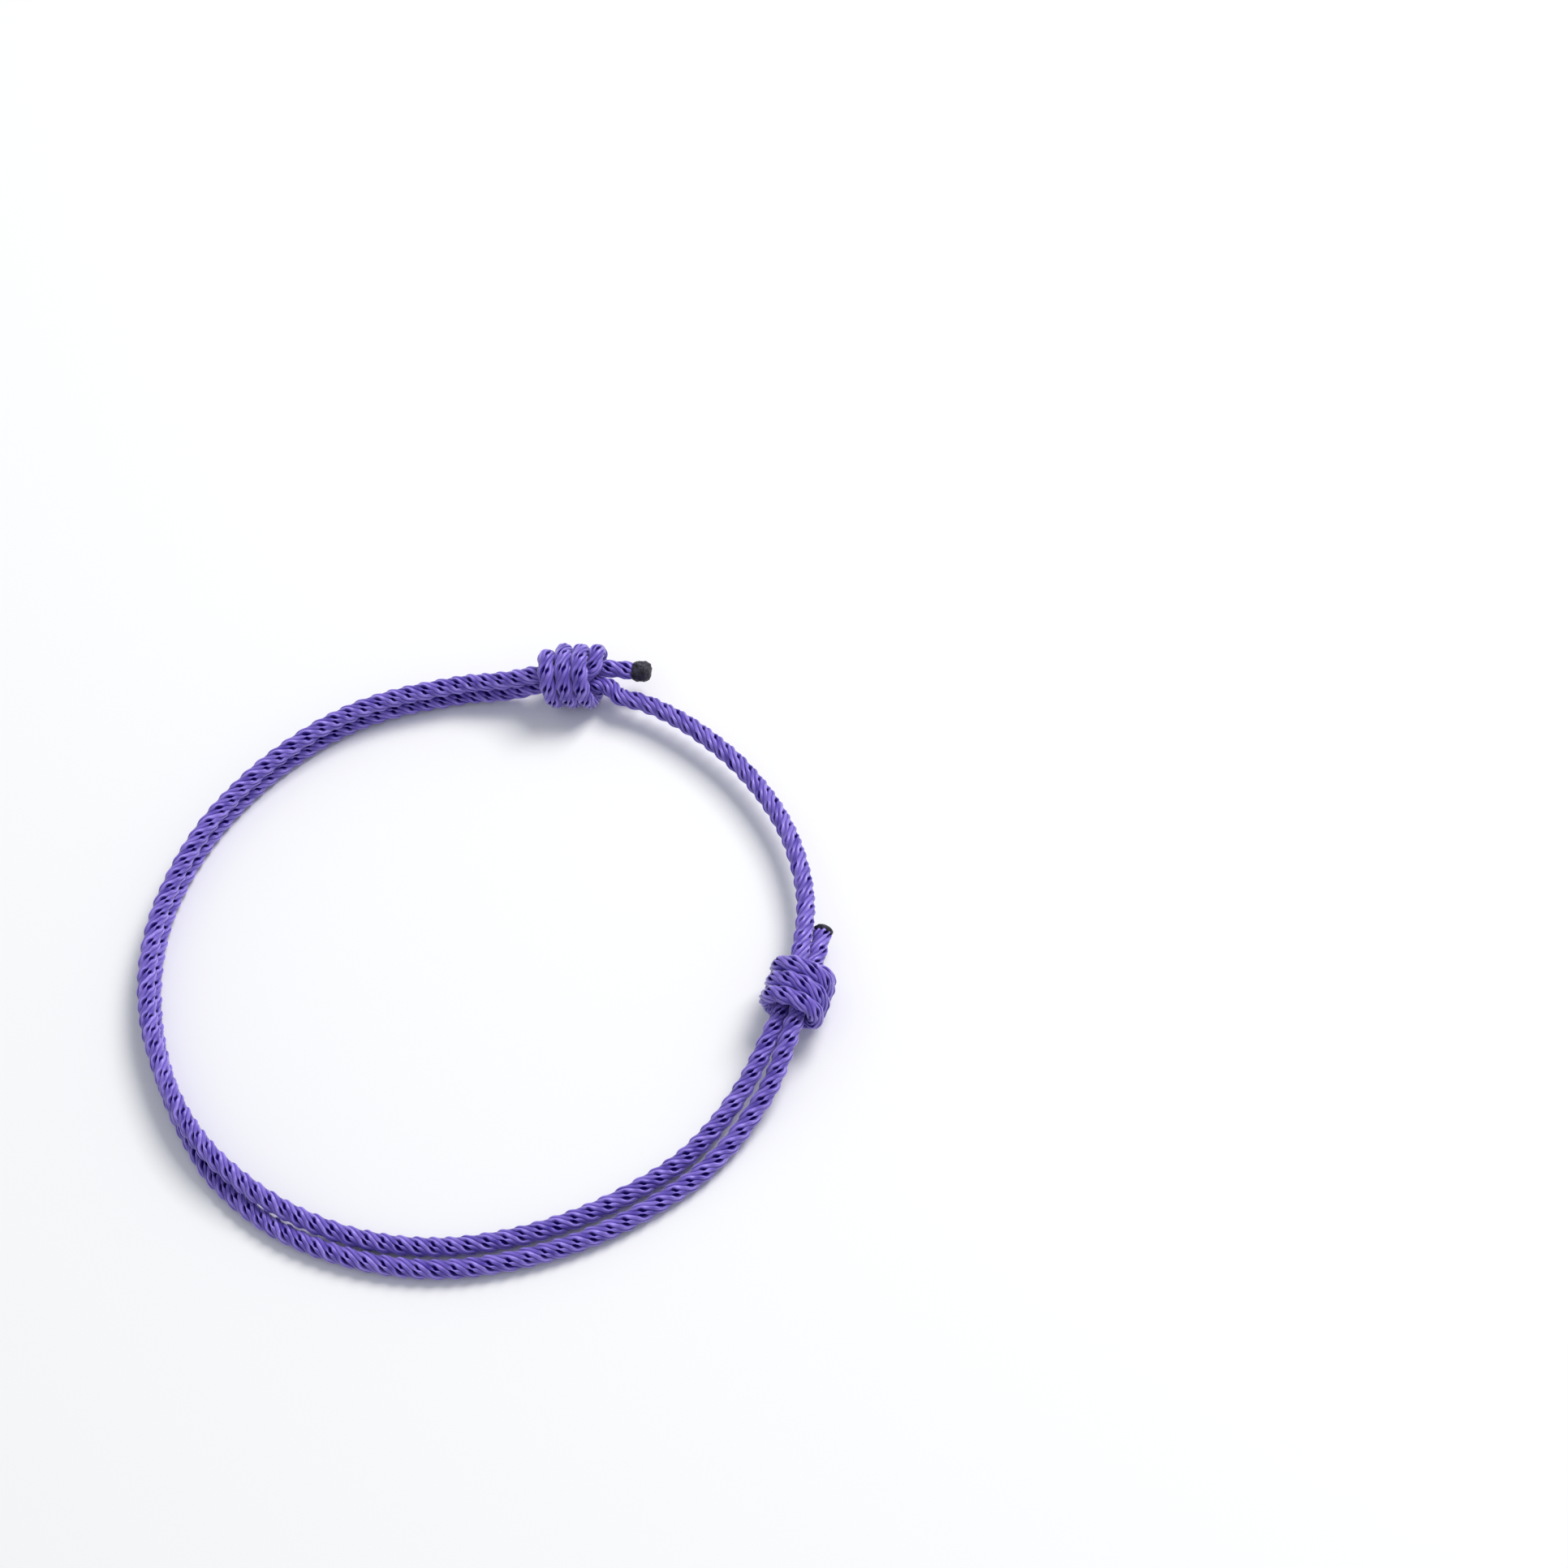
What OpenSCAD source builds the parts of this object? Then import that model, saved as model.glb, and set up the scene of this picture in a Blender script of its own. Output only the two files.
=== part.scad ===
// Bracelet of one braided cord. Each end is knotted over the cord's other half, so that the two knots
// slide and the ring grows or shrinks. It lies on a flat surface, with its axis along +Z.

/* [Ring] */
// Diameter of the ring, to the cord's middle line
ring_d = 70; // [66:1:76]
// Diameter of the free cord
cord_d = 2; // [1.8:0.1:2]

/* [Knots] */
// Wraps in each knot
wraps = 3; // [2:1:4]
// Distance from one wrap to the next
wrap_pitch = 1.84; // [1.84:0.02:2.1]
// Width of a wrap along the knot
wrap_w = 1.8; // [1.6:0.02:1.8]
// Thickness of a wrap, which its tension flattens
wrap_t = 1.64; // [1.4:0.02:1.64]
// Diameter of the cord where the wraps squeeze it
squeezed_d = 1.76; // [1.6:0.02:1.76]

/* [Ends] */
// Length of the rear cord end that heat has sealed
rear_tip_l = 2; // [1:0.1:3]
// Length of the front cord end that heat has sealed
front_tip_l = 0.55; // [0.3:0.05:1]

/* [Hidden] */

UP = [0, 0, 1];
ring_r = ring_d / 2;
// The ring's own middle, which brings the whole part's outline round the origin
RING_MIDDLE = [-0.5, 0.4, 0];
CORD_COLOR = [0.47, 0.42, 0.75];
SEALED_COLOR = [0.11, 0.11, 0.2];

// A swept cord has eight sides, and its corners stand out this much to keep the round cord's volume
SIDES = 8;
CORNER = 1.03;
// Rings of a sweep: for each span of a free route, each bend in a knot, and each degree of a wrap
SPAN_STEPS = 2;
BEND_STEPS = 8;
WRAP_STEP = 18;

// Three cords lie side by side in a knot, this far from its axis
core_r = 1.06;
// Middle of a wrap to the knot's axis, and how far it swells over each of the three cords
wrap_r = 2.83;
swell = 0.06;
// A knot's middle lies this high, so that its wraps just touch the surface
knot_z = wrap_r + swell + wrap_t / 2;
// The cord turns this far round the knot's axis while it leaves the core, and again as it comes back
BEND_TURN = 100;
// It is wound this far in all, so that its loose end comes out beside its start
wound = 360 * wraps + 120;
// The first and the last full wrap lie this far from the knot's middle, and its two faces this far
wrap_reach = wrap_pitch * (wound - 2 * BEND_TURN) / 720;
knot_half = wrap_reach + wrap_w / 2;
// The cord leaves the core this far inside a face of the knot, with this pull on its bend's two ends
CORE_INSET = 1.7;
core_reach = knot_half - CORE_INSET;
CORE_PULL = 1;
WRAP_PULL = 2.6;

// A knot's columns: angle on the ring, outward from the ring, way round the ring to its loose end,
// turn of its axis outward, angle round its axis where its cord goes in
ANGLE = 0;
OUTWARD = 1;
WAY = 2;
TURN = 3;
ENTRY = 4;
REAR = [64.2, 0.2, -1, 10, 116];
FRONT = [-23.4, 0.15, 1, 4, 42];
// The next cords round the axis are the loose end and the ring's own cord
TAIL_TURN = -120;
CORE_TURN = -240;

// A route's columns: angle on the ring, outward from the ring, height. Each runs from knot to knot.
HEIGHT = 2;
UPPER = [
    [75, -0.95, 3.9], [80, -0.85, 3.38], [86, -0.5, 3.02], [100, 0, 3], [112, 0.25, 3],
    [126, 0.3, 3], [140, 0.4, 3], [154, 0.35, 3], [166, 0.3, 3], [178, 0, 3],
    [190, -0.45, 3.02], [202, -0.55, 3], [214, -0.75, 2.75], [228, -1.1, 2.05], [242, -1.45, 1.2],
    [256, -1.7, 1], [270, -1.95, 1], [284, -1.95, 1], [298, -1.6, 1], [307, -1.4, 1.45],
    [315, -1.3, 2.2], [321, -1.15, 3.1]
];
LOWER = [
    [75, -0.95, 1.75], [80, -0.9, 1.28], [86, -0.55, 1], [100, 0, 1], [112, 0.35, 1],
    [126, 0.4, 1], [140, 0.5, 1], [154, 0.5, 1], [166, 0.25, 1], [178, -0.1, 1],
    [190, -0.3, 1], [202, -0.15, 1], [214, 0.45, 1], [228, 0.7, 1], [242, 0.7, 1],
    [256, 0.75, 1], [270, 0.55, 1], [284, 0.6, 1], [298, 0.85, 1], [307, 0.95, 1.2],
    [315, 0.95, 1.9], [321, 1.05, 2.9]
];
SINGLE = [
    [-8, 0, 3.4], [0, 0.15, 3.2], [9, 0.15, 3], [18, 0, 2.85], [28, -0.1, 2.75],
    [38, -0.15, 2.7], [46, -0.12, 2.65], [51, -0.18, 2.6], [55, -0.4, 2.6]
];

// A tail's columns: along its knot's axis from the knot's middle, outward, up
REAR_TAIL = [[4.5, 1, -0.1], [5.6, 0.95, -0.2], [6.5, 0.95, -0.3]];
FRONT_TAIL = [[4.6, 0.3, -1.2], [6, 0.18, -1.2], [7.9, 0.07, -1.1]];
// A sealed end's columns: part of its length, part of the cord's radius
REAR_SEAL = [[0, 0.98], [0.2, 1.1], [0.7, 1.14], [0.92, 0.85], [1, 0.45]];
FRONT_SEAL = [[0, 0.98], [0.5, 1.02], [1, 0.8]];

function unit(v) = v / norm(v);
function radial(angle) = [cos(angle), sin(angle), 0];
function ring_point(angle, outward, height) =
    RING_MIDDLE + (ring_r + outward) * radial(angle) + height * UP;

// A knot's own frame: outward from the ring, and ahead to its loose end
function knot_out(k) = cos(k[TURN]) * radial(k[ANGLE]) - k[WAY] * sin(k[TURN]) * radial(k[ANGLE] + 90);
function knot_ahead(k) = k[WAY] * cos(k[TURN]) * radial(k[ANGLE] + 90) + sin(k[TURN]) * radial(k[ANGLE]);
function knot_middle(k) = ring_point(k[ANGLE], k[OUTWARD], knot_z);
function knot_point(k, along, outward, up) =
    knot_middle(k) + along * knot_ahead(k) + outward * knot_out(k) + up * UP;

// A point of one of the three cords in a knot's core
function core_point(k, along, turn) = knot_point(k, along, core_r * cos(turn), core_r * sin(turn));

// A point of the wraps, and the way that the cord is wound there
function wrap_point(k, along, turn) =
    let(r = wrap_r + swell * cos(3 * (turn - k[ENTRY])))
    knot_point(k, along, r * cos(turn), r * sin(turn));
function wrap_way(k, along, turn) =
    unit(wrap_point(k, along - wrap_pitch / 360, turn - 1) - wrap_point(k, along, turn));

// Cubic curve from p to q, which leaves and arrives along the two pulls
function bend(p, p_pull, q, q_pull, t) =
    pow(1 - t, 3) * p + 3 * pow(1 - t, 2) * t * (p + p_pull)
    + 3 * (1 - t) * t * t * (q - q_pull) + pow(t, 3) * q;

// Smooth curve through all points but the first and the last, which only set its directions
function curve(points) = [
    for (i = [1:len(points) - 3], j = [0:SPAN_STEPS - 1])
        let(a = points[i - 1], b = points[i], c = points[i + 1], d = points[i + 2], t = j / SPAN_STEPS)
        0.5 * (2 * b + (c - a) * t + (2 * a - 5 * b + 4 * c - d) * t * t
               + (3 * b - a - 3 * c + d) * t * t * t),
    points[len(points) - 2]
];

function ring_points(rows) =
    [for (row = rows) ring_point(row[ANGLE], row[OUTWARD], row[HEIGHT])];

// A section is eight points round a place: wide across the lift, thick along it
function section(place, way, lift, w, t) =
    let(side = unit(cross(way, lift)), face = cross(side, way))
    [for (i = [0:SIDES - 1])
        let(a = (i + 0.5) * 360 / SIDES)
        place + CORNER / 2 * (w * cos(a) * side + t * sin(a) * face)];

// Heading of a path at place i, with the directions of its two ends given
function heading(path, i, first, last) =
    i == 0 ? first : i == len(path) - 1 ? last : unit(path[i + 1] - path[i - 1]);

// Closed skin over a row of sections, from flat end to flat end
module skin(sections) {
    last = (len(sections) - 1) * SIDES;
    sides = [
        for (row = [0:SIDES:last - 1], i = [0:SIDES - 1])
            let(a = row + i, b = row + (i + 1) % SIDES)
            each [[a, b, b + SIDES], [a, b + SIDES, a + SIDES]]
    ];
    start_cap = [for (i = [SIDES - 1:-1:0]) i];
    end_cap = [for (i = [0:SIDES - 1]) last + i];
    polyhedron([for (s = sections) each s], concat([start_cap], sides, [end_cap]), convexity = 10);
}

// Round cord along a path; sizes holds its diameter at each place
module cord(path, sizes, first, last) {
    skin([for (i = [0:len(path) - 1])
        section(path[i], heading(path, i, first, last), UP, sizes[i], sizes[i])]);
}

// Half of the ring's doubled side: from the rear knot to the front knot through the rows
module doubled_run(rear_turn, rows, front_turn) {
    path = curve(concat(
        [core_point(REAR, 0, rear_turn), core_point(REAR, -knot_half, rear_turn)],
        ring_points(rows),
        [core_point(FRONT, -knot_half, front_turn), core_point(FRONT, 0, front_turn)]));
    last = len(path) - 1;
    sizes = [for (i = [0:last]) i == 0 || i == last ? squeezed_d : cord_d];
    color(CORD_COLOR) cord(path, sizes, -knot_ahead(REAR), knot_ahead(FRONT));
}

module upper_run() {
    doubled_run(REAR[ENTRY], UPPER, FRONT[ENTRY] + CORE_TURN);
}

module lower_run() {
    doubled_run(REAR[ENTRY] + CORE_TURN, LOWER, FRONT[ENTRY]);
}

// The ring's single side, with its two stretches through the knots' cores
module single_run() {
    front_turn = FRONT[ENTRY] + CORE_TURN;
    rear_turn = REAR[ENTRY] + CORE_TURN;
    free = curve(concat(
        [core_point(FRONT, 0, front_turn), core_point(FRONT, knot_half, front_turn)],
        ring_points(SINGLE),
        [core_point(REAR, knot_half, rear_turn), core_point(REAR, 0, rear_turn)]));
    front_core = [for (along = [-knot_half, 0]) core_point(FRONT, along, front_turn)];
    rear_core = [for (along = [0, -knot_half]) core_point(REAR, along, rear_turn)];
    squeezed = [squeezed_d, squeezed_d, squeezed_d];
    sizes = concat(squeezed, [for (i = [2:len(free) - 1]) cord_d], squeezed);
    color(CORD_COLOR)
        cord(concat(front_core, free, rear_core), sizes, knot_ahead(FRONT), -knot_ahead(REAR));
}

// One wound knot: in through the core, back over it in wraps, and out through the core again
module knot(k) {
    exit_turn = k[ENTRY] - wound;
    wrap_start = [wrap_reach, k[ENTRY] - BEND_TURN];
    wrap_end = [-wrap_reach, exit_turn + BEND_TURN];
    ahead = knot_ahead(k);
    start_place = wrap_point(k, wrap_start[0], wrap_start[1]);
    start_pull = WRAP_PULL * wrap_way(k, wrap_start[0], wrap_start[1]);
    end_place = wrap_point(k, wrap_end[0], wrap_end[1]);
    end_pull = WRAP_PULL * wrap_way(k, wrap_end[0], wrap_end[1]);
    leave = core_point(k, core_reach, k[ENTRY]);
    rejoin = core_point(k, -core_reach, exit_turn);
    steps = round((wrap_start[1] - wrap_end[1]) / WRAP_STEP);
    core_in = [for (along = [-knot_half, 0]) core_point(k, along, k[ENTRY])];
    bend_in = [for (i = [0:BEND_STEPS - 1])
        bend(leave, CORE_PULL * ahead, start_place, start_pull, i / BEND_STEPS)];
    wound_round = [for (i = [0:steps])
        let(at = wrap_start + (wrap_end - wrap_start) * i / steps)
        wrap_point(k, at[0], at[1])];
    bend_out = [for (i = [1:BEND_STEPS])
        bend(end_place, end_pull, rejoin, CORE_PULL * ahead, i / BEND_STEPS)];
    core_out = [for (along = [0, knot_half]) core_point(k, along, exit_turn)];
    path = concat(core_in, bend_in, wound_round, bend_out, core_out);
    // Flattening at each place: none in the core, full in the wraps, growing along a bend
    flat = concat([0, 0], [for (i = [0:BEND_STEPS - 1]) i / BEND_STEPS], [for (i = [0:steps]) 1],
                  [for (i = [1:BEND_STEPS]) 1 - i / BEND_STEPS], [0, 0]);
    color(CORD_COLOR) skin([for (i = [0:len(path) - 1])
        let(
            from_middle = path[i] - knot_middle(k),
            lift = from_middle - (from_middle * ahead) * ahead,
            w = squeezed_d + flat[i] * (wrap_w - squeezed_d),
            t = squeezed_d + flat[i] * (wrap_t - squeezed_d)
        )
        section(path[i], heading(path, i, ahead, ahead), lift, w, t)]);
}

// A tail's places, from its knot's face to its sealed end
function tail_path(k, rows) = concat(
    [core_point(k, knot_half, k[ENTRY] + TAIL_TURN)],
    [for (row = rows) knot_point(k, row[0], row[1], row[2])]);
function tail_way(k, rows) =
    let(path = tail_path(k, rows), n = len(path)) unit(path[n - 1] - path[n - 2]);

module tail(k, rows) {
    path = tail_path(k, rows);
    sizes = concat([squeezed_d], [for (row = rows) cord_d]);
    color(CORD_COLOR) cord(path, sizes, knot_ahead(k), tail_way(k, rows));
}

// Lump of molten cord on a tail's end
module sealed_tip(k, rows, seal, length) {
    place = knot_point(k, rows[len(rows) - 1][0], rows[len(rows) - 1][1], rows[len(rows) - 1][2]);
    way = tail_way(k, rows);
    color(SEALED_COLOR) skin([for (row = seal)
        section(place + row[0] * length * way, way, UP, row[1] * cord_d, row[1] * cord_d)]);
}

module rear_knot() {
    knot(REAR);
}

module front_knot() {
    knot(FRONT);
}

module rear_tail() {
    tail(REAR, REAR_TAIL);
}

module front_tail() {
    tail(FRONT, FRONT_TAIL);
}

module rear_tip() {
    sealed_tip(REAR, REAR_TAIL, REAR_SEAL, rear_tip_l);
}

module front_tip() {
    sealed_tip(FRONT, FRONT_TAIL, FRONT_SEAL, front_tip_l);
}

upper_run();
lower_run();
single_run();
rear_knot();
front_knot();
rear_tail();
front_tail();
rear_tip();
front_tip();
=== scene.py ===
"""A bracelet of one braided cord: nine strands, laid along the route of the frame's nodes."""

import math

import bpy
import numpy as np
from mathutils import Matrix, Vector, noise


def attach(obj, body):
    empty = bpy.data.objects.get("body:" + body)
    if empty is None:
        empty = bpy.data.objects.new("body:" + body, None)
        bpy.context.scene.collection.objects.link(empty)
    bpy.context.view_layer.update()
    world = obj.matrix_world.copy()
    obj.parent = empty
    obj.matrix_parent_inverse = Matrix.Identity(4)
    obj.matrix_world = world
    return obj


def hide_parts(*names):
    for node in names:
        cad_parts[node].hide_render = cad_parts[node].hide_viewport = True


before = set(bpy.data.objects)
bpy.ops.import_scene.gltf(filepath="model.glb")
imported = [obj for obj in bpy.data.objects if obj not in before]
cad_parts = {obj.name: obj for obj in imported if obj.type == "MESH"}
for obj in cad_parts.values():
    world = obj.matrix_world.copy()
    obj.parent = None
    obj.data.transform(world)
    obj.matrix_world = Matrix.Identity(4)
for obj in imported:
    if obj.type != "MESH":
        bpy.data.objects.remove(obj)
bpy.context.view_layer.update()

# Sizes and places are in millimetres, as in the part's source, and meshes are made in metres. Angles
# are in degrees, apart from the braid's sway and skew.
MM = 0.001
UP = np.array([0.0, 0.0, 1.0])

# The ring's radius to the cord's middle line, its own middle, and the diameter of the free cord
RING_R = 35.0
RING_MIDDLE = np.array([-0.5, 0.4, 0.0])
CORD_D = 2.0

# Wraps in each knot, the distance from one to the next, and a wrap's width and thickness
WRAPS = 3
WRAP_PITCH = 1.84
WRAP_W = 1.8
WRAP_T = 1.64
# Width of the braid in a wrap, and diameter of the cord where the wraps squeeze it
WRAP_BRAID_W = 1.9
SQUEEZED_D = 1.76
# This many cords lie side by side in a knot, this far from its axis
CORE_CORDS = 3
CORE_R = 1.06
# Middle of a wrap to the knot's axis, and how far it swells over each of the cords in the core
WRAP_R = 2.83
SWELL = 0.06
# A knot's middle lies this high, so that its wraps just touch the surface
KNOT_Z = WRAP_R + SWELL + WRAP_T / 2
# The cord turns this far round the knot's axis while it leaves the core, and again as it comes back
BEND_TURN = 100
# It is wound this far in all, so that its loose end comes out beside its start
WOUND = 360 * WRAPS + 120
# The first and the last full wrap lie this far from the knot's middle, and its two faces this far
WRAP_REACH = WRAP_PITCH * (WOUND - 2 * BEND_TURN) / 720
KNOT_HALF = WRAP_REACH + WRAP_W / 2
# The cord leaves the core this far inside a face of the knot, with this pull on its bend's two ends
CORE_INSET = 1.7
CORE_REACH = KNOT_HALF - CORE_INSET
CORE_PULL = 1.0
WRAP_PULL = 2.6
# The next cords round the knot's axis are the loose end and the ring's own cord
TAIL_TURN = -120
CORE_TURN = -240

# A route's columns: angle on the ring, outward from the ring, height. Each runs from knot to knot.
UPPER = [
    (75, -0.95, 3.9), (80, -0.85, 3.38), (86, -0.5, 3.02), (100, 0, 3), (112, 0.25, 3),
    (126, 0.3, 3), (140, 0.4, 3), (154, 0.35, 3), (166, 0.3, 3), (178, 0, 3),
    (190, -0.45, 3.02), (202, -0.55, 3), (214, -0.75, 2.75), (228, -1.1, 2.05), (242, -1.45, 1.2),
    (256, -1.7, 1), (270, -1.95, 1), (284, -1.95, 1), (298, -1.6, 1), (307, -1.4, 1.45),
    (315, -1.3, 2.2), (321, -1.15, 3.1),
]
LOWER = [
    (75, -0.95, 1.75), (80, -0.9, 1.28), (86, -0.55, 1), (100, 0, 1), (112, 0.35, 1),
    (126, 0.4, 1), (140, 0.5, 1), (154, 0.5, 1), (166, 0.25, 1), (178, -0.1, 1),
    (190, -0.3, 1), (202, -0.15, 1), (214, 0.45, 1), (228, 0.7, 1), (242, 0.7, 1),
    (256, 0.75, 1), (270, 0.55, 1), (284, 0.6, 1), (298, 0.85, 1), (307, 0.95, 1.2),
    (315, 0.95, 1.9), (321, 1.05, 2.9),
]
SINGLE = [
    (-8, 0, 3.4), (0, 0.15, 3.2), (9, 0.15, 3), (18, 0, 2.85), (28, -0.1, 2.75),
    (38, -0.15, 2.7), (46, -0.12, 2.65), (51, -0.18, 2.6), (55, -0.4, 2.6),
]
# A tail's columns: along its knot's axis from the knot's middle, outward, up
REAR_TAIL = [(4.5, 1, -0.1), (5.6, 0.95, -0.2), (6.5, 0.95, -0.3)]
FRONT_TAIL = [(4.6, 0.3, -1.2), (6, 0.18, -1.2), (7.9, 0.07, -1.1)]

# Steps of the smooth lines: for each span of a free route, each straight stretch in a core, each bend
# in a knot, and all the wraps of a knot
SPAN_STEPS = 10
STRAIGHT_STEPS = 8
BEND_STEPS = 24
WRAP_STEPS = 150
# Distance between the points of the path that is sampled along each run of cord
PATH_STEP = 0.5

# The sealed ends: length, profile as part of the length and part of the cord's radius, and the swelling
# of their lumps
REAR_TIP_L = 2.0
REAR_SEAL = [(0, 0.98), (0.2, 1.1), (0.7, 1.14), (0.92, 0.85), (1, 0.45)]
REAR_LUMPS = 0.16
FRONT_TIP_L = 0.55
FRONT_SEAL = [(0, 0.98), (0.5, 1.02), (1, 0.8)]
FRONT_LUMPS = 0.08
# Lumps of molten cord: how many for each millimetre, and their part of the swelling
LUMPS = [(1.1, 1.0), (2.7, 0.6), (5.5, 0.3)]
TIP_RINGS = 40
TIP_SIDES = 72

# The braid: strands of two plies that all wind one way. The cord swells once in each beat, and there a
# long slot and a round hole open side by side, three times round the cord.
STRANDS = 9
PAIRS = 3
BEAT = 1.8
# A strand goes once round the cord in this length
LEAD = STRANDS * BEAT / 2
# A strand's middle lies this far from the cord's, sways round it by this angle in each beat, and rises
# this far at a knob. The knobs of one beat come sooner and later round the cord, by this angle at most.
STRAND_R = 0.715
STRAND_SWAY = 0.05
KNOB = 0.088
KNOB_SKEW = 0.6
STRAND_HALF_W = 0.255
STRAND_HALF_T = 0.25
# How much a strand is pinched beside an opening, how short a slot and a hole are along the cord, as
# powers, and between which cosines of the angle from its middle a pair fades in
SLOT_PINCH = 0.76
SLOT_REACH = 1.5
HOLE_REACH = 4.0
PAIR_FADE = (-0.5, 0.4)
# Depth of the groove between a strand's two plies, and its width as part of the strand's half width
PLY_GROOVE = 0.02
PLY_LINE = 0.17
# A strand's section, in parts of its half width and thickness: places over its outer side, the powers
# that round them, and the corners of its inner side
OUTER_PLACES = (-1.0, -0.88, -0.52, -0.2, 0.0, 0.2, 0.52, 0.88, 1.0)
CROWN_POWERS = (2.2, 0.6)
INNER_CORNERS = [(0.7, -0.8), (0.0, -1.0), (-0.7, -0.8)]
# Distance between a strand's rings
RING_STEP = 0.19
# The filling between the strands, coloured in the deepest painted shade: radius, sides, and distance between
# rings
FILL_R = 0.58
FILL_SIDES = 12
FILL_STEP = 1.0
# Painted shade in the grooves: how dark the lines between plies and between strands are, what is left of the
# latter at shut gaps, and how close to a strand's edge they stay, as a power
PLY_PAINTED_SHADE = 0.1
EDGE_PAINTED_SHADE = 0.85
SHUT_LINE = 0.65
EDGE_POWER = 3
# The yarn's painted shade fades from full at this distance off the cord's middle to none at that one
SHADE_FROM = 0.72
SHADE_TO = 1.09
# The fibres' pattern starts this much further on in each next strand, so that no two are alike
FIBRE_SHIFT = 1.7
# How far a pair is turned from the side that the photo shows, for the runs in their order on the cord:
# part of the run, degrees
PAIR_TURN = {
    "upper_run": [(0.08, 12), (0.3, -9), (0.5, 0), (1.0, 0)],
    "single_run": [(0.2, -53), (0.8, -53)],
    "lower_run": [(0.1, 0), (0.6, 0), (0.68, 12), (0.8, 6), (1.0, 6)],
}

# Unevenness along the cord: seed, to which a strand adds its number, how much, and over which length
UNEVEN_LAY = (1.3, 0.35, 11.0)
UNEVEN_BEAT = (0.5, 0.1, 4.0)
UNEVEN_OPENING = (5, 0.2, 4.0)
UNEVEN_WIDTH = (7, 0.09, 2.5)
UNEVEN_HEIGHT = (9, 0.02, 1.5)
UNEVEN_TONE = (11, 0.5, 6.0)
# The waves that it is made of: how fine, shift with the seed, and size
WAVES = [(2.1, 1.7, 1.0), (4.7, 2.9, 0.6), (9.3, 5.3, 0.4)]

# Colours of the screen. The yarn's run is painted shade deep between the strands, rising to a painted
# highlight on their crowns.
YARN_DEEPEST_SHADE = (36, 18, 124)
YARN_DEEP_SHADE = (57, 37, 147)
YARN_MIDDLE = (106, 82, 191)
YARN_CROWN_HIGHLIGHT = (160, 136, 250)
YARN_FIBRE = (176, 153, 252)
SEALED_DARK = (8, 7, 22)
SEALED_LIGHT = (54, 52, 70)
# The fibres' pattern, in waves for each millimetre: across a strand, along it, and in the third
# direction, which the UV map doesn't have. Then their height in metres.
FIBRES = (22.0, 0.9, 1.0)
FIBRE_HEIGHT = 0.00004
# Grains of the sealed ends for each metre, and their height in metres
SEALED_GRAINS = 2500.0
SEALED_HEIGHT = 0.00012

# The camera, solved from the ring's outline in the photograph: place, degrees down and of roll, focal
# length in the photograph's pixels, width of the photograph and of the sensor
CAMERA_PLACE = (34.856, -185.277, 289.978)
CAMERA_DOWN = 55.438
CAMERA_ROLL = 12.419
FOCAL_PX = 4022.2
PHOTO_PX = 1932
SENSOR = 36.0

# The studio, in metres, watts and linear light
FLOOR_HALF = 3.0
FLOOR_COLOR = (0.94, 0.94, 0.94, 1)
SKY_COLOR = (0.9, 0.94, 1.0, 1)
SKY_STRENGTH = 0.52
KEY_PLACE = (0.45, 0.27, 0.62)
KEY_SIZE = 0.38
KEY_POWER = 5.3
KEY_COLOR = (1.0, 0.985, 0.96)


def unit(v):
    return v / np.linalg.norm(v)


def units(v):
    """Each row of v made one long."""
    return v / np.linalg.norm(v, axis=1)[:, None]


def radial(angle):
    a = math.radians(angle)
    return np.array([math.cos(a), math.sin(a), 0.0])


def ring_point(angle, outward, height):
    return RING_MIDDLE + (RING_R + outward) * radial(angle) + height * UP


class Knot:
    """A sliding knot, with its own frame: outward from the ring, and ahead to its loose end."""

    def __init__(self, angle, outward, way, turn, entry):
        """Angle on the ring, outward from the ring, way round the ring to its loose end, turn of its axis
        outward, and angle round its axis where its cord goes in."""
        c, s = math.cos(math.radians(turn)), math.sin(math.radians(turn))
        on_ring = way * radial(angle + 90)
        self.ahead = c * on_ring + s * radial(angle)
        self.out = c * radial(angle) - s * on_ring
        self.middle = ring_point(angle, outward, KNOT_Z)
        self.entry = entry

    def point(self, along, outward, up):
        return self.middle + along * self.ahead + outward * self.out + up * UP

    def core(self, along, turn):
        """A point of one of the cords in the core."""
        a = math.radians(turn)
        return self.point(along, CORE_R * math.cos(a), CORE_R * math.sin(a))

    def wrap(self, along, turn):
        """A point of the wraps."""
        a = math.radians(turn)
        r = WRAP_R + SWELL * math.cos(CORE_CORDS * (a - math.radians(self.entry)))
        return self.point(along, r * math.cos(a), r * math.sin(a))

    def wrap_way(self, along, turn):
        """The way that the cord is wound there, from one degree to the next."""
        return unit(self.wrap(along - WRAP_PITCH / 360, turn - 1) - self.wrap(along, turn))


REAR = Knot(angle=64.2, outward=0.2, way=-1, turn=10, entry=116)
FRONT = Knot(angle=-23.4, outward=0.15, way=1, turn=4, entry=42)


def bend(p, p_pull, q, q_pull):
    """Cubic curve from p to q, which leaves and arrives along the two pulls."""
    t = np.linspace(0, 1, BEND_STEPS + 1)[:, None]
    return ((1 - t) ** 3 * p + 3 * (1 - t) ** 2 * t * (p + p_pull)
            + 3 * (1 - t) * t ** 2 * (q - q_pull) + t ** 3 * q)


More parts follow.
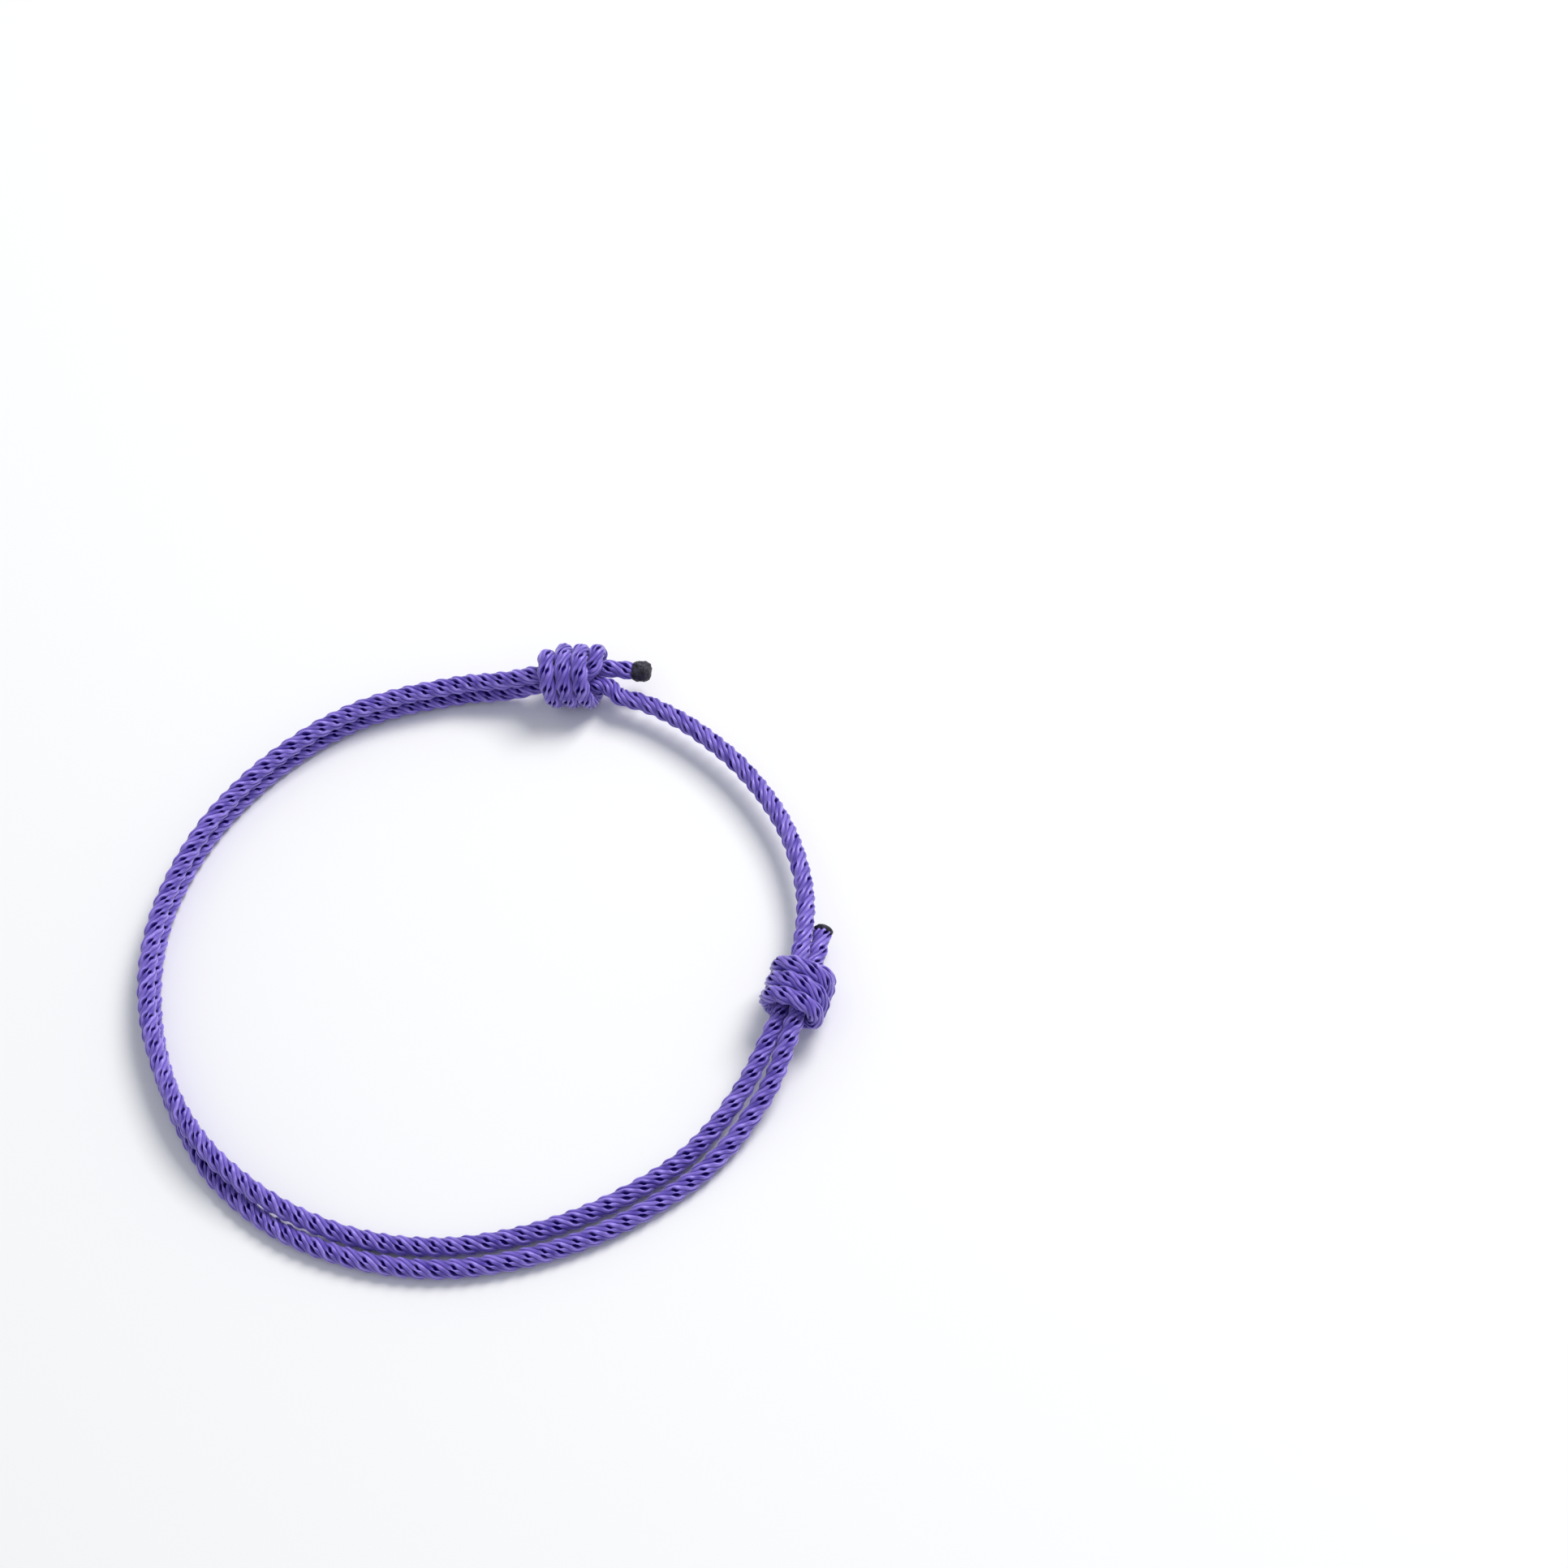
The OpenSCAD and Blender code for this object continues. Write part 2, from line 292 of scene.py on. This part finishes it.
def curve(points):
    """Smooth curve through all points but the first and the last, which only set its directions."""
    points = np.array(points)
    t = (np.arange(SPAN_STEPS) / SPAN_STEPS)[:, None]
    spans = []
    for a, b, c, d in zip(points, points[1:], points[2:], points[3:]):
        spans.append(0.5 * (2 * b + (c - a) * t + (2 * a - 5 * b + 4 * c - d) * t ** 2
                            + (3 * b - a - 3 * c + d) * t ** 3))
    return np.vstack(spans + [points[-2:-1]])


def straight(p, q):
    t = np.linspace(0, 1, STRAIGHT_STEPS + 1)[:, None]
    return p + (q - p) * t


def doubled_line(rear_turn, rows, front_turn):
    """One cord of the doubled side, from the rear knot's face to the front knot's."""
    return curve([REAR.core(0, rear_turn), REAR.core(-KNOT_HALF, rear_turn)]
                 + [ring_point(*row) for row in rows]
                 + [FRONT.core(-KNOT_HALF, front_turn), FRONT.core(0, front_turn)])


def single_line():
    """The single side in three parts: through the front knot's core, free, and through the rear one's."""
    front_turn = FRONT.entry + CORE_TURN
    rear_turn = REAR.entry + CORE_TURN
    free = curve([FRONT.core(0, front_turn), FRONT.core(KNOT_HALF, front_turn)]
                 + [ring_point(*row) for row in SINGLE]
                 + [REAR.core(KNOT_HALF, rear_turn), REAR.core(0, rear_turn)])
    front_core = straight(FRONT.core(-KNOT_HALF, front_turn), FRONT.core(KNOT_HALF, front_turn))
    rear_core = straight(REAR.core(KNOT_HALF, rear_turn), REAR.core(-KNOT_HALF, rear_turn))
    return front_core, free, rear_core


def knot_line(knot):
    """A wound knot in five parts: through the core, out of it, the wraps, into it, and through it again."""
    exit_turn = knot.entry - WOUND
    first = (WRAP_REACH, knot.entry - BEND_TURN)
    last = (-WRAP_REACH, exit_turn + BEND_TURN)
    wraps = np.array([
        knot.wrap(first[0] + (last[0] - first[0]) * i / WRAP_STEPS,
                  first[1] + (last[1] - first[1]) * i / WRAP_STEPS)
        for i in range(WRAP_STEPS + 1)
    ])
    leave = knot.core(CORE_REACH, knot.entry)
    rejoin = knot.core(-CORE_REACH, exit_turn)
    core_in = straight(knot.core(-KNOT_HALF, knot.entry), leave)
    bend_in = bend(leave, CORE_PULL * knot.ahead, wraps[0], WRAP_PULL * knot.wrap_way(*first))
    bend_out = bend(wraps[-1], WRAP_PULL * knot.wrap_way(*last), rejoin, CORE_PULL * knot.ahead)
    core_out = straight(rejoin, knot.core(KNOT_HALF, exit_turn))
    return core_in, bend_in, wraps, bend_out, core_out


def tail_line(knot, rows):
    """A tail from its knot's face to its sealed end."""
    face = knot.core(KNOT_HALF, knot.entry + TAIL_TURN)
    places = [knot.point(*row) for row in rows]
    return curve([knot.core(0, knot.entry + TAIL_TURN), face] + places + [2 * places[-1] - places[-2]])


class Cord:
    """The whole cord as one line from end to end, with a frame and a squeeze at each step along it."""

    # Distance between two steps, and the steps over which the line and the squeeze are softened
    STEP = 0.1
    SOFTEN_LINE = 4
    SOFTEN_SQUEEZE = 8

    def __init__(self, parts):
        """parts: node, points, squeeze at the start and the end as (width, thickness), and its knot."""
        rows = []
        self.spans = {}
        length = 0.0
        for node, points, start, end, knot in parts:
            steps = np.linalg.norm(np.diff(points, axis=0), axis=1)
            along = length + np.concatenate([[0.0], np.cumsum(steps)])
            t = ((along - length) / steps.sum())[:, None]
            squeeze = np.array(start) * (1 - t) + np.array(end) * t
            # A part's first point is the last one of the part before it
            keep = slice(1 if rows else 0, None)
            rows.append(np.hstack([along[:, None], points, squeeze, self.lifts(points, knot)])[keep])
            low = self.spans.get(node, (length, 0))[0]
            length += steps.sum()
            self.spans[node] = (low, length)
        rows = np.vstack(rows)
        self.length = length
        at = np.arange(0, length + self.STEP, self.STEP)
        table = np.stack([np.interp(at, rows[:, 0], column) for column in rows[:, 1:].T], axis=1)
        line, squeeze, lift = table[:, :3], table[:, 3:5], table[:, 5:]
        self.line = self.soften(line, self.SOFTEN_LINE)
        self.squeeze = self.soften(squeeze, self.SOFTEN_SQUEEZE)
        self.way = units(np.gradient(self.line, axis=0))
        self.lift = units(lift - (lift * self.way).sum(axis=1)[:, None] * self.way)
        self.side = self.sides()
        self.top = np.cross(self.way, self.side)
        self.turn = self.turns(at)

    @staticmethod
    def lifts(points, knot):
        """The direction of a wrap's thickness: away from its knot's axis, or up where there is no knot."""
        if knot is None:
            return np.tile(UP, (len(points), 1))
        away = points - knot.middle
        return units(away - np.outer(away @ knot.ahead, knot.ahead))

    @staticmethod
    def soften(values, reach):
        """Round off kinks, with the two ends kept."""
        pad = 3 * reach
        kernel = np.exp(-0.5 * (np.arange(-pad, pad + 1) / reach) ** 2)
        kernel /= kernel.sum()
        out = []
        for column in values.T:
            before = 2 * column[0] - column[pad:0:-1]
            after = 2 * column[-1] - column[-2:-pad - 2:-1]
            out.append(np.convolve(np.concatenate([before, column, after]), kernel, mode="valid"))
        return np.stack(out, axis=1)

    def sides(self):
        """A direction to the side, carried along the line without turning it about the line."""
        side = np.empty_like(self.way)
        now = unit(np.cross(self.way[0], UP))
        for i, way in enumerate(self.way):
            now = unit(now - (now @ way) * way)
            side[i] = now
        return side

    def turns(self, at):
        """The braid's turn about the cord. One of its pairs of slots faces the photo's camera, give or take,
        and on the wraps it faces away from the knot."""
        wound = np.zeros(len(at), bool)
        for node, knot in (("rear_knot", REAR), ("front_knot", FRONT)):
            away = self.line - knot.middle
            away = away - np.outer(away @ knot.ahead, knot.ahead)
            inside = (at > self.spans[node][0]) & (at < self.spans[node][1])
            wound |= inside & (np.linalg.norm(away, axis=1) > WRAP_R - 2 * SWELL)
        shown = np.where(wound[:, None], self.lift, np.array(CAMERA_PLACE) - self.line)
        turn = np.arctan2((shown * self.top).sum(axis=1), (shown * self.side).sum(axis=1))
        places, angles = [], []
        for node, rows in PAIR_TURN.items():
            low, high = self.spans[node]
            places += [low + part * (high - low) for part, degrees in rows]
            angles += [math.radians(degrees) for part, degrees in rows]
        on_run = (at > places[0]) & (at < places[-1])
        turn[on_run] += np.interp(at[on_run], places, angles)
        kept = on_run | wound
        even = np.unwrap(turn[kept], period=2 * math.pi / PAIRS)
        return np.interp(at, at[kept], even)[:, None]

    def roll(self, s):
        """How far the braid is turned about the cord at the lengths s."""
        return self.at(self.turn, s.ravel()).reshape(s.shape)

    def at(self, values, s):
        """Values at the lengths s, between two steps, of which the upper one stays in the table."""
        i = np.clip(s / self.STEP, 0, len(values) - 1.001)
        low = i.astype(int)
        part = (i - low)[:, None]
        return values[low] * (1 - part) + values[low + 1] * part

    def lay(self, s, x, y):
        """Places of points of a straight cord, x and y beside its middle at the length s, on the line."""
        beside = x[:, None] * self.at(self.side, s) + y[:, None] * self.at(self.top, s)
        squeeze = self.at(self.squeeze, s)
        lift = units(self.at(self.lift, s))
        out = (beside * lift).sum(axis=1)[:, None] * lift
        beyond = np.clip(s - self.length, 0, None) + np.clip(s, None, 0)
        ends = beyond[:, None] * self.at(self.way, s)
        return self.at(self.line, s) + ends + (beside - out) * squeeze[:, :1] + out * squeeze[:, 1:]


# Squeezes: width and thickness, in parts of the free cord's
FREE = (1.0, 1.0)
SQUEEZED = (SQUEEZED_D / CORD_D, SQUEEZED_D / CORD_D)
FLAT = (WRAP_BRAID_W / CORD_D, WRAP_T / CORD_D)


def knot_parts(node, knot):
    """A knot's parts for the cord, which turns flat in the first bend and round again in the second."""
    core_in, bend_in, wraps, bend_out, core_out = knot_line(knot)
    return [
        (node, core_in, SQUEEZED, SQUEEZED, knot),
        (node, bend_in, SQUEEZED, FLAT, knot),
        (node, wraps, FLAT, FLAT, knot),
        (node, bend_out, FLAT, SQUEEZED, knot),
        (node, core_out, SQUEEZED, SQUEEZED, knot),
    ]


def backwards(parts):
    return [(node, points[::-1], end, start, knot) for node, points, start, end, knot in reversed(parts)]


def whole_cord():
    """Every stretch of the one cord, from the rear sealed end to the front one."""
    front_core, free, rear_core = single_line()
    upper = doubled_line(REAR.entry, UPPER, FRONT.entry + CORE_TURN)
    lower = doubled_line(REAR.entry + CORE_TURN, LOWER, FRONT.entry)
    return Cord(
        backwards([("rear_tail", tail_line(REAR, REAR_TAIL), FREE, FREE, None)])
        + backwards(knot_parts("rear_knot", REAR))
        + [
            ("upper_run", upper, FREE, FREE, None),
            ("single_run", front_core, SQUEEZED, SQUEEZED, FRONT),
            ("single_run", free, FREE, FREE, None),
            ("single_run", rear_core, SQUEEZED, SQUEEZED, REAR),
            ("lower_run", lower, FREE, FREE, None),
        ]
        + knot_parts("front_knot", FRONT)
        + [("front_tail", tail_line(FRONT, FRONT_TAIL), FREE, FREE, None)]
    )


cord = whole_cord()


def wander(s, index, seed, size, length):
    """Slow smooth change along the cord, the same on each run."""
    a = s / length
    seed = index + seed
    return size * sum(part * np.sin(fine * a + shift * seed) for fine, shift, part in WAVES) / 2


def smooth_step(x, low, high):
    """0 up to low, 1 from high, and a smooth rise between them."""
    t = np.clip((x - low) / (high - low), 0, 1)
    return t * t * (3 - 2 * t)


def opened(angle, beat):
    """How far the gap between two strands opens at an angle about the cord: a long slot on one side of
    each pair's middle and a round hole on the other, and nothing between the pairs."""
    reach = np.where(np.sin(PAIRS * angle) > 0, SLOT_REACH, HOLE_REACH)
    return smooth_step(np.cos(PAIRS * angle), *PAIR_FADE) * (0.5 - 0.5 * np.cos(beat)) ** reach


def section():
    """A strand's cross-section: across and out in parts of its half sizes, and how near each place is to
    the line between its two plies and to its edges."""
    rows = []
    for u in OUTER_PLACES:
        crown = (1 - abs(u) ** CROWN_POWERS[0]) ** CROWN_POWERS[1]
        between = math.exp(-(u / PLY_LINE) ** 2)
        groove = PLY_GROOVE / STRAND_HALF_T * between
        rows.append((u, crown - groove, between, abs(u) ** EDGE_POWER))
    rows += [(across, out, 0, 1) for across, out in INNER_CORNERS]
    return np.array(rows[::-1]).T


ACROSS, OUT, AT_PLIES, AT_EDGES = section()


def ring_count(start, end, step):
    return max(2, int(math.ceil((end - start) / step)) + 1)


def strand(index, start, end):
    """One strand of the braid from start to end: its rings' places, and each point's painted shade, tone and
    UV.
    """
    rings = ring_count(start, end, RING_STEP)
    s = np.linspace(start, end, rings)
    u = s + wander(s, 0, *UNEVEN_LAY)
    beat = 2 * math.pi * u / BEAT + wander(s, index, *UNEVEN_BEAT)
    angle = 2 * math.pi * (u / LEAD + index / STRANDS) + STRAND_SWAY * np.sin(beat)
    half_gap = math.pi / STRANDS
    after = opened(angle + half_gap, beat)[:, None]
    before = opened(angle - half_gap, beat)[:, None]
    opening = np.where(ACROSS > 0, after, before) * (1 + wander(s, index, *UNEVEN_OPENING)[:, None])

    knob = -np.cos(beat + KNOB_SKEW * np.sin(PAIRS * angle))
    r = STRAND_R + KNOB * knob + wander(s, index, *UNEVEN_HEIGHT)
    slope = np.arctan(r * np.gradient(angle, s))
    width = STRAND_HALF_W * (1 + wander(s, index, *UNEVEN_WIDTH))
    across = width[:, None] * (1 - SLOT_PINCH * opening) * ACROSS
    along = s[:, None] - across * np.sin(slope)[:, None]
    turn = angle[:, None] + across * np.cos(slope)[:, None] / r[:, None] + cord.roll(along)
    radius = r[:, None] + STRAND_HALF_T * OUT
    x = radius * np.cos(turn)
    y = radius * np.sin(turn)
    places = cord.lay(along.ravel(), x.ravel(), y.ravel())

    # Painted shade: dark lines between the plies and along the strands' edges, fainter where a gap is shut,
    # and darker towards the cord's middle; the outermost places get the crowns' painted highlight
    line = SHUT_LINE + (1 - SHUT_LINE) * opening
    light = 1 - PLY_PAINTED_SHADE * AT_PLIES - EDGE_PAINTED_SHADE * AT_EDGES * line
    shade = np.clip((radius - SHADE_FROM) / (SHADE_TO - SHADE_FROM), 0, 1) * np.clip(light, 0, 1)
    tone = 0.5 + wander(s, index, *UNEVEN_TONE)[:, None]
    tints = np.stack(np.broadcast_arrays(shade, tone, 0.0, 1.0), axis=-1).reshape(-1, 4)
    girth = ACROSS * STRAND_HALF_W + FIBRE_SHIFT * index
    uvs = np.stack(np.broadcast_arrays(girth, s[:, None]), axis=-1).reshape(-1, 2)
    return rings, places, tints, uvs


def filling(start, end):
    """The filling between the strands, in the deepest painted shade: its rings' places, and each point's
    shade and UV.
    """
    rings = ring_count(start, end, FILL_STEP)
    s = np.linspace(start, end, rings)[:, None]
    a = np.linspace(0, 2 * math.pi, FILL_SIDES, endpoint=False)[None, :]
    along, x, y = np.broadcast_arrays(s, FILL_R * np.cos(a), FILL_R * np.sin(a))
    places = cord.lay(along.ravel(), x.ravel(), y.ravel())
    # Shade 0: the filling takes the deepest painted shade
    return rings, places, np.tile([0.0, 0.0, 0.0, 1.0], (len(places), 1)), np.zeros((len(places), 2))


def tube_faces(rings, sides, first):
    """Quads of a tube's skin, then its two caps, of points that start at the number first."""
    ring = np.arange(rings - 1)[:, None] * sides
    side = np.arange(sides)[None, :]
    a = first + ring + side
    b = first + ring + (side + 1) % sides
    quads = np.stack([a, b, b + sides, a + sides], axis=-1).reshape(-1, 4)
    caps = [list(range(first + sides - 1, first - 1, -1)),
            list(range(first + (rings - 1) * sides, first + rings * sides))]
    return quads, caps


def make_piece(name, places, faces, smooth, tints, uvs, material):
    """A mesh object, each face smooth or flat, with the painted shade and tone of its points and its UV map.
    """
    mesh = bpy.data.meshes.new(name)
    mesh.from_pydata((places * MM).tolist(), [], faces)
    mesh.polygons.foreach_set("use_smooth", smooth)
    layer = mesh.color_attributes.new("tint", "FLOAT_COLOR", "POINT")
    layer.data.foreach_set("color", tints.astype(np.float32).ravel())
    corners = np.empty(len(mesh.loops), dtype=np.int32)
    mesh.loops.foreach_get("vertex_index", corners)
    uv = mesh.uv_layers.new(name="along")
    uv.data.foreach_set("uv", uvs[corners].astype(np.float32).ravel())
    mesh.materials.append(material)
    mesh.update()
    piece = bpy.data.objects.new(name, mesh)
    bpy.context.scene.collection.objects.link(piece)
    return piece


def braid_piece(name, start, end, material):
    """The strands and the filling of a stretch of the cord in one mesh."""
    tubes = [strand(index, start, end) for index in range(STRANDS)] + [filling(start, end)]
    faces, smooth = [], []
    first = 0
    for rings, places, tints, uvs in tubes:
        quads, caps = tube_faces(rings, len(places) // rings, first)
        faces += quads.tolist() + caps
        smooth += [True] * len(quads) + [False, False]
        first += len(places)
    places, tints, uvs = (np.vstack([tube[i] for tube in tubes]) for i in (1, 2, 3))
    return make_piece(name, places, faces, smooth, tints, uvs, material)


def sealed_tip(name, length, profile, place, way, lumps, material):
    """A lump of molten cord: the sealed end's profile turned round its axis, and swollen unevenly."""
    side = unit(np.cross(way, UP))
    top = np.cross(side, way)
    along = np.linspace(0, 1, TIP_RINGS)
    radius = np.interp(along, [p[0] for p in profile], [p[1] for p in profile]) * CORD_D / 2
    places = []
    for t, r in zip(along, radius):
        for i in range(TIP_SIDES):
            a = 2 * math.pi * i / TIP_SIDES
            p = place + t * length * way + r * (math.cos(a) * side + math.sin(a) * top)
            swell = lumps * sum(part * noise.noise(Vector(p * fine)) for fine, part in LUMPS)
            places.append(p + swell * unit(p - place - 0.5 * length * way))
    places = np.array(places)
    quads, caps = tube_faces(TIP_RINGS, TIP_SIDES, 0)
    faces = quads.tolist() + caps
    return make_piece(name, places, faces, [True] * len(faces), np.ones((len(places), 4)),
                      np.zeros((len(places), 2)), material)


def finish_piece(piece, node):
    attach(piece, "root")
    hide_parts(node)


def srgb(r, g, b):
    """A colour of the screen as linear light."""
    parts = [v / 255 for v in (r, g, b)]
    return tuple(((v + 0.055) / 1.055) ** 2.4 if v > 0.04 else v / 12.92 for v in parts) + (1.0,)


def new_material(name):
    """A material with its nodes, its links and its shader."""
    material = bpy.data.materials.new(name)
    material.use_nodes = True
    tree = material.node_tree
    return material, tree.nodes, tree.links, tree.nodes["Principled BSDF"]


def add_noise(nodes, links, places, scale, detail):
    grain = nodes.new("ShaderNodeTexNoise")
    grain.inputs["Scale"].default_value = scale
    grain.inputs["Detail"].default_value = detail
    links.new(places, grain.inputs["Vector"])
    return grain.outputs["Fac"]


def add_product(nodes, links, a):
    """A node that multiplies a by its second input."""
    product = nodes.new("ShaderNodeMath")
    product.operation = "MULTIPLY"
    links.new(a, product.inputs[0])
    return product


def add_relief(nodes, links, shader, relief, strength, height):
    bump = nodes.new("ShaderNodeBump")
    bump.inputs["Strength"].default_value = strength
    bump.inputs["Distance"].default_value = height
    links.new(relief, bump.inputs["Height"])
    links.new(bump.outputs["Normal"], shader.inputs["Normal"])


def cord_material():
    """Violet polyester yarn: fine fibres along each strand, with painted shade between the strands and a
    painted highlight on their crowns.
    """
    material, nodes, links, shader = new_material("braided_cord")
    shader.inputs["Roughness"].default_value = 0.35
    shader.inputs["Sheen Roughness"].default_value = 0.4

    # Each point's painted shade is the red part of its tint, and its tone the green part
    tint = nodes.new("ShaderNodeAttribute")
    tint.attribute_name = "tint"
    parts = nodes.new("ShaderNodeSeparateColor")
    links.new(tint.outputs["Color"], parts.inputs["Color"])
    shade, tone = parts.outputs["Red"], parts.outputs["Green"]

    uv = nodes.new("ShaderNodeUVMap")
    uv.uv_map = "along"
    stretch = nodes.new("ShaderNodeMapping")
    stretch.inputs["Scale"].default_value = FIBRES
    links.new(uv.outputs["UV"], stretch.inputs["Vector"])
    fibres = add_noise(nodes, links, stretch.outputs["Vector"], scale=1.0, detail=3.0)

    # Painted shade, from deep between the strands up to a painted highlight on the crowns
    painted_shade_ramp = nodes.new("ShaderNodeValToRGB")
    ramp = painted_shade_ramp.color_ramp
    ramp.elements[0].color = srgb(*YARN_DEEPEST_SHADE)
    ramp.elements[1].color = srgb(*YARN_CROWN_HIGHLIGHT)
    ramp.elements.new(0.3).color = srgb(*YARN_DEEP_SHADE)
    ramp.elements.new(0.65).color = srgb(*YARN_MIDDLE)
    links.new(shade, painted_shade_ramp.inputs["Fac"])
    # The yarn loses its gloss between the strands, where no light gets in
    gloss = add_product(nodes, links, shade)
    gloss.inputs[1].default_value = 0.9
    links.new(gloss.outputs["Value"], shader.inputs["Specular IOR Level"])
    links.new(gloss.outputs["Value"], shader.inputs["Sheen Weight"])

    lighter = nodes.new("ShaderNodeMix")
    lighter.data_type = "RGBA"
    lighter.inputs["B"].default_value = srgb(*YARN_FIBRE)
    links.new(painted_shade_ramp.outputs["Color"], lighter.inputs["A"])
    amount = add_product(nodes, links, tone)
    links.new(fibres, amount.inputs[1])
    links.new(amount.outputs["Value"], lighter.inputs["Factor"])
    links.new(lighter.outputs["Result"], shader.inputs["Base Color"])
    add_relief(nodes, links, shader, fibres, strength=0.5, height=FIBRE_HEIGHT)
    return material


def sealed_material():
    """Cord melted by a flame: near-black, rough and a little glassy."""
    material, nodes, links, shader = new_material("sealed_cord")
    shader.inputs["Roughness"].default_value = 0.5
    shader.inputs["Specular IOR Level"].default_value = 0.4
    place = nodes.new("ShaderNodeTexCoord")
    grain = add_noise(nodes, links, place.outputs["Object"], scale=SEALED_GRAINS, detail=4.0)
    color = nodes.new("ShaderNodeValToRGB")
    dark, light = color.color_ramp.elements
    dark.position = 0.35
    dark.color = srgb(*SEALED_DARK)
    light.position = 0.75
    light.color = srgb(*SEALED_LIGHT)
    links.new(grain, color.inputs["Fac"])
    links.new(color.outputs["Color"], shader.inputs["Base Color"])
    add_relief(nodes, links, shader, grain, strength=0.8, height=SEALED_HEIGHT)
    return material


def make_camera():
    """The photograph's camera: down at the ring from the front, rolled a little."""
    down = math.radians(CAMERA_DOWN)
    turn = math.radians(CAMERA_ROLL)
    ahead = Vector((0, math.cos(down), -math.sin(down)))
    right = Vector((1, 0, 0))
    up = right.cross(ahead)
    x = math.cos(turn) * right - math.sin(turn) * up
    y = math.sin(turn) * right + math.cos(turn) * up
    data = bpy.data.cameras.new("camera")
    data.sensor_width = SENSOR
    data.sensor_fit = "HORIZONTAL"
    data.lens = FOCAL_PX / PHOTO_PX * SENSOR
    data.clip_start = 0.01
    data.clip_end = 10
    camera = bpy.data.objects.new("camera", data)
    bpy.context.scene.collection.objects.link(camera)
    turned = Matrix((x, y, -ahead)).transposed().to_4x4()
    camera.matrix_world = Matrix.Translation(Vector(CAMERA_PLACE) * MM) @ turned
    bpy.context.scene.camera = camera


def make_floor():
    """The white surface that the bracelet lies on."""
    mesh = bpy.data.meshes.new("floor")
    half = FLOOR_HALF
    corners = [(-half, -half, 0), (half, -half, 0), (half, half, 0), (-half, half, 0)]
    mesh.from_pydata(corners, [], [(0, 1, 2, 3)])
    floor = bpy.data.objects.new("floor", mesh)
    bpy.context.scene.collection.objects.link(floor)
    material, _, _, shader = new_material("floor")
    shader.inputs["Base Color"].default_value = FLOOR_COLOR
    shader.inputs["Roughness"].default_value = 0.9
    mesh.materials.append(material)


def make_lights():
    """A pale studio all round, and one soft key light from the right and behind."""
    world = bpy.data.worlds.new("studio")
    world.use_nodes = True
    back = world.node_tree.nodes["Background"]
    back.inputs["Color"].default_value = SKY_COLOR
    back.inputs["Strength"].default_value = SKY_STRENGTH
    bpy.context.scene.world = world
    data = bpy.data.lights.new("key", "AREA")
    data.size = KEY_SIZE
    data.energy = KEY_POWER
    data.color = KEY_COLOR
    light = bpy.data.objects.new("key", data)
    bpy.context.scene.collection.objects.link(light)
    light.location = KEY_PLACE
    light.rotation_euler = (-Vector(KEY_PLACE)).to_track_quat("-Z", "Y").to_euler()
    bpy.context.scene.view_settings.view_transform = "Standard"


violet = cord_material()
sealed = sealed_material()

for node in ("rear_tail", "rear_knot", "upper_run", "single_run", "lower_run", "front_knot", "front_tail"):
    start, end = cord.spans[node]
    piece = braid_piece(node + "_braid", start, end, violet)
    finish_piece(piece, node)
    if node.endswith("_run"):
        path = cord.at(cord.line, np.arange(start, end, PATH_STEP)) * MM

rear_lump = sealed_tip("rear_tip_lump", REAR_TIP_L, REAR_SEAL, cord.line[0], -cord.way[0],
                       REAR_LUMPS, sealed)
finish_piece(rear_lump, "rear_tip")
front_lump = sealed_tip("front_tip_lump", FRONT_TIP_L, FRONT_SEAL, cord.line[-1], cord.way[-1],
                        FRONT_LUMPS, sealed)
finish_piece(front_lump, "front_tip")

make_camera()
make_floor()
make_lights()
